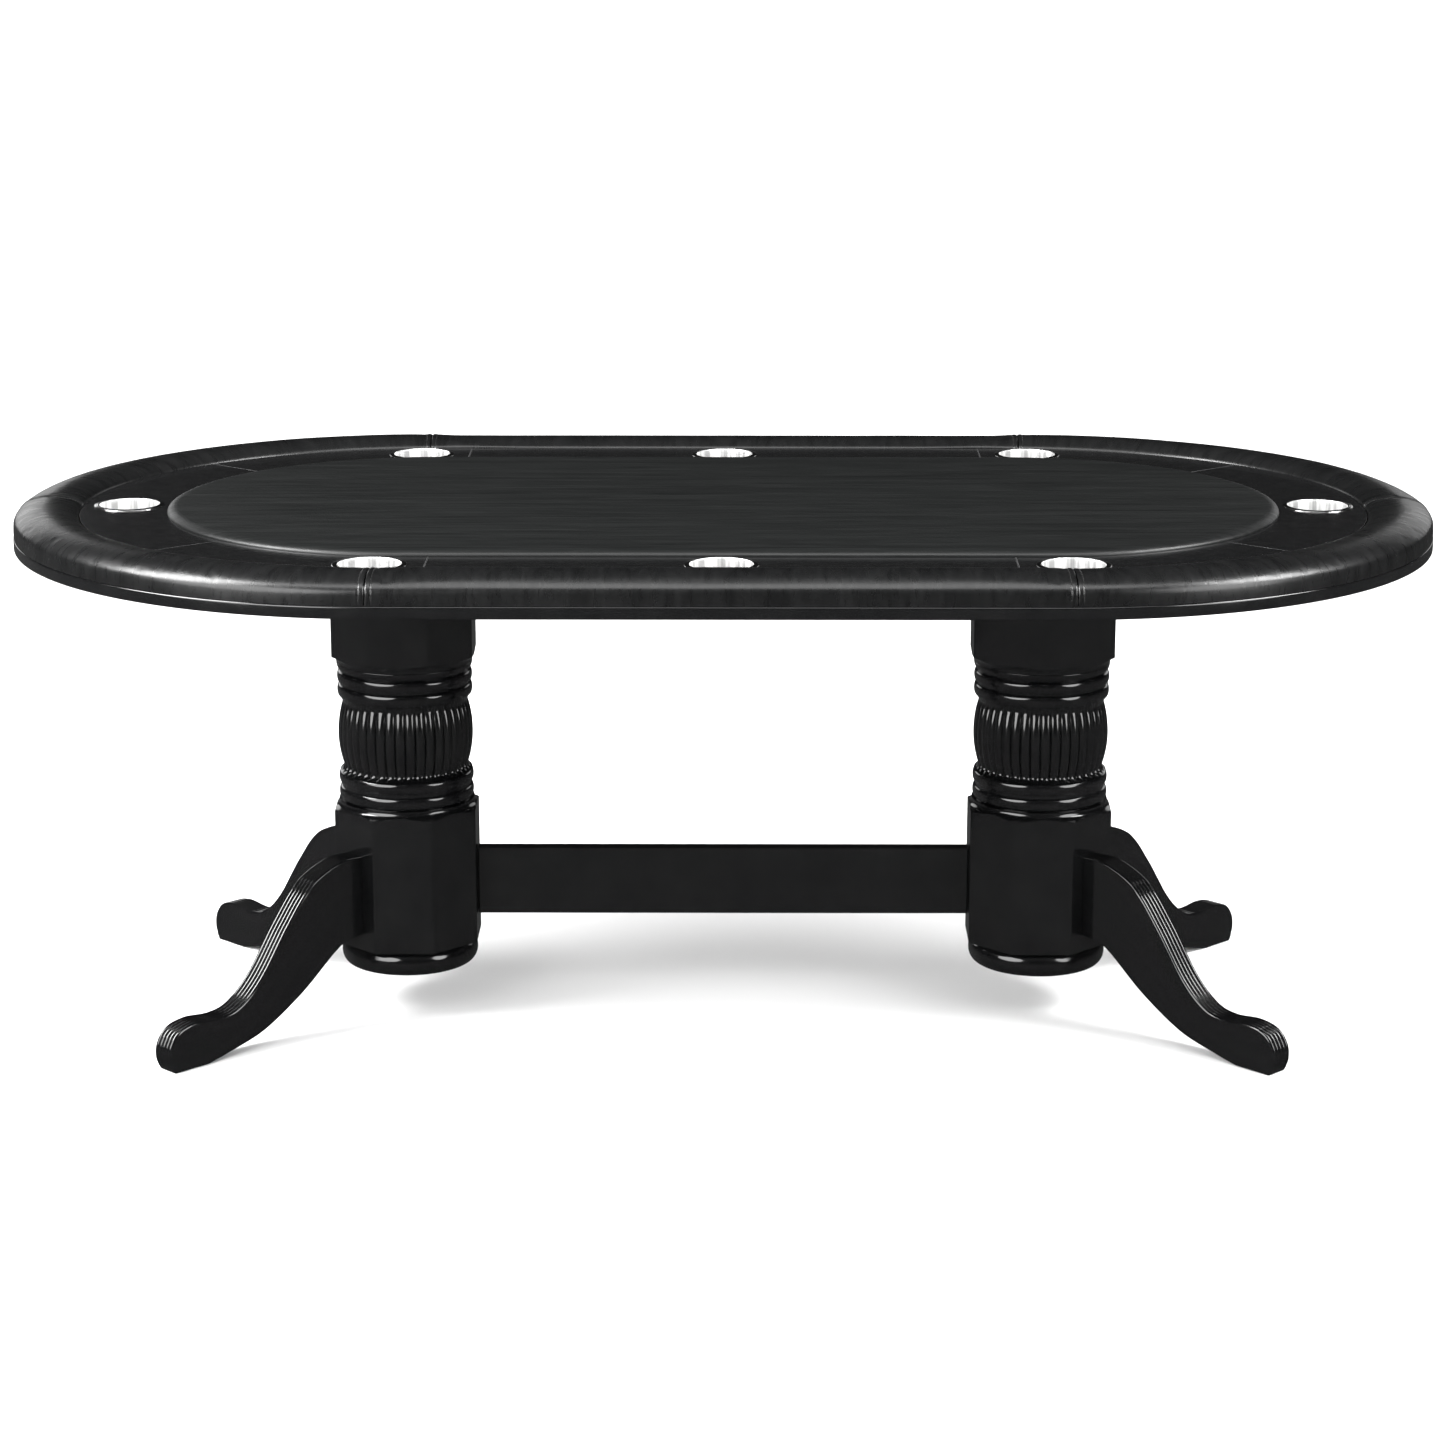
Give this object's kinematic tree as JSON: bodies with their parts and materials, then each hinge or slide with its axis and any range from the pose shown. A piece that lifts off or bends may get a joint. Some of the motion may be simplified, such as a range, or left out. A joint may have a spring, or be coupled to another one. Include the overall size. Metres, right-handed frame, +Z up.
{
  "type": "poker table",
  "caption": "Oval card table with a padded rail, racetrack with lift-out cup holders, raised playing surface and two turned pedestals on cabriole legs.",
  "frame": {"origin": "on the floor under the centre of the table", "axes": "+X along the table's length, +Y to the back, +Z up"},
  "size_m": [2.134, 1.194, 0.804],
  "materials": {
    "black_lacquer": "gloss black lacquer on solid wood",
    "track_gloss": "dark gloss laminate on board",
    "rail_vinyl": "soft black faux leather, satin, fine grain",
    "play_vinyl": "dark mottled faux leather, satin",
    "board_wood": "stained board",
    "cup_steel": "brushed stainless steel with a polished rim",
    "zinc_steel": "zinc plated",
    "glide_nylon": "black nylon"
  },
  "bodies": {
    "table": {"base_board": "board_wood", "base_disc_left": "black_lacquer", "base_disc_right": "black_lacquer", "batten_back": "board_wood", "batten_front": "board_wood", "leg_back_left": "black_lacquer", "leg_back_right": "black_lacquer", "leg_bolt_back_left": "zinc_steel", "leg_bolt_back_right": "zinc_steel", "leg_bolt_front_left": "zinc_steel", "leg_bolt_front_right": "zinc_steel", "leg_front_left": "black_lacquer", "leg_front_right": "black_lacquer", "lower_block_left": "black_lacquer", "lower_block_right": "black_lacquer", "playing_board": "board_wood", "playing_surface": "play_vinyl", "racetrack_back": "track_gloss", "racetrack_back_left": "track_gloss", "racetrack_back_right": "track_gloss", "racetrack_deck": "board_wood", "racetrack_front": "track_gloss", "racetrack_front_left": "track_gloss", "racetrack_front_right": "track_gloss", "racetrack_left_end": "track_gloss", "racetrack_right_end": "track_gloss", "rail_core_ring": "board_wood", "rail_pad_back": "rail_vinyl", "rail_pad_back_left": "rail_vinyl", "rail_pad_back_right": "rail_vinyl", "rail_pad_front": "rail_vinyl", "rail_pad_front_left": "rail_vinyl", "rail_pad_front_right": "rail_vinyl", "rim_band_back": "black_lacquer", "rim_band_front": "black_lacquer", "rim_band_left_end": "black_lacquer", "rim_band_right_end": "black_lacquer", "stretcher": "black_lacquer", "tie_rod_left": "zinc_steel", "tie_rod_right": "zinc_steel", "top_plate_left": "black_lacquer", "top_plate_right": "black_lacquer", "turned_column_left": "black_lacquer", "turned_column_right": "black_lacquer", "upper_block_left": "black_lacquer", "upper_block_right": "black_lacquer"},
    "cup_front_left": {"cup_holder_front_left": "cup_steel"},
    "cup_front_middle": {"cup_holder_front_middle": "cup_steel"},
    "cup_front_right": {"cup_holder_front_right": "cup_steel"},
    "cup_right_end": {"cup_holder_right_end": "cup_steel"},
    "cup_back_right": {"cup_holder_back_right": "cup_steel"},
    "cup_back_middle": {"cup_holder_back_middle": "cup_steel"},
    "cup_back_left": {"cup_holder_back_left": "cup_steel"},
    "cup_left_end": {"cup_holder_left_end": "cup_steel"},
    "glide_front_left": {"levelling_glide_front_left": "glide_nylon"},
    "glide_back_left": {"levelling_glide_back_left": "glide_nylon"},
    "glide_front_right": {"levelling_glide_front_right": "glide_nylon"},
    "glide_back_right": {"levelling_glide_back_right": "glide_nylon"}
  },
  "joints": [
    {"name": "cup_front_left_lift", "type": "slide", "parent": "table", "child": "cup_front_left", "axis": [0, 0, 1], "range_m": [0, 0.1]},
    {"name": "cup_front_middle_lift", "type": "slide", "parent": "table", "child": "cup_front_middle", "axis": [0, 0, 1], "range_m": [0, 0.1]},
    {"name": "cup_front_right_lift", "type": "slide", "parent": "table", "child": "cup_front_right", "axis": [0, 0, 1], "range_m": [0, 0.1]},
    {"name": "cup_right_end_lift", "type": "slide", "parent": "table", "child": "cup_right_end", "axis": [0, 0, 1], "range_m": [0, 0.1]},
    {"name": "cup_back_right_lift", "type": "slide", "parent": "table", "child": "cup_back_right", "axis": [0, 0, 1], "range_m": [0, 0.1]},
    {"name": "cup_back_middle_lift", "type": "slide", "parent": "table", "child": "cup_back_middle", "axis": [0, 0, 1], "range_m": [0, 0.1]},
    {"name": "cup_back_left_lift", "type": "slide", "parent": "table", "child": "cup_back_left", "axis": [0, 0, 1], "range_m": [0, 0.1]},
    {"name": "cup_left_end_lift", "type": "slide", "parent": "table", "child": "cup_left_end", "axis": [0, 0, 1], "range_m": [0, 0.1]},
    {"name": "glide_front_left_adjust", "type": "slide", "parent": "table", "child": "glide_front_left", "axis": [0, 0, -1], "range_m": [0, 0.012]},
    {"name": "glide_back_left_adjust", "type": "slide", "parent": "table", "child": "glide_back_left", "axis": [0, 0, -1], "range_m": [0, 0.012]},
    {"name": "glide_front_right_adjust", "type": "slide", "parent": "table", "child": "glide_front_right", "axis": [0, 0, -1], "range_m": [0, 0.012]},
    {"name": "glide_back_right_adjust", "type": "slide", "parent": "table", "child": "glide_back_right", "axis": [0, 0, -1], "range_m": [0, 0.012]}
  ]
}
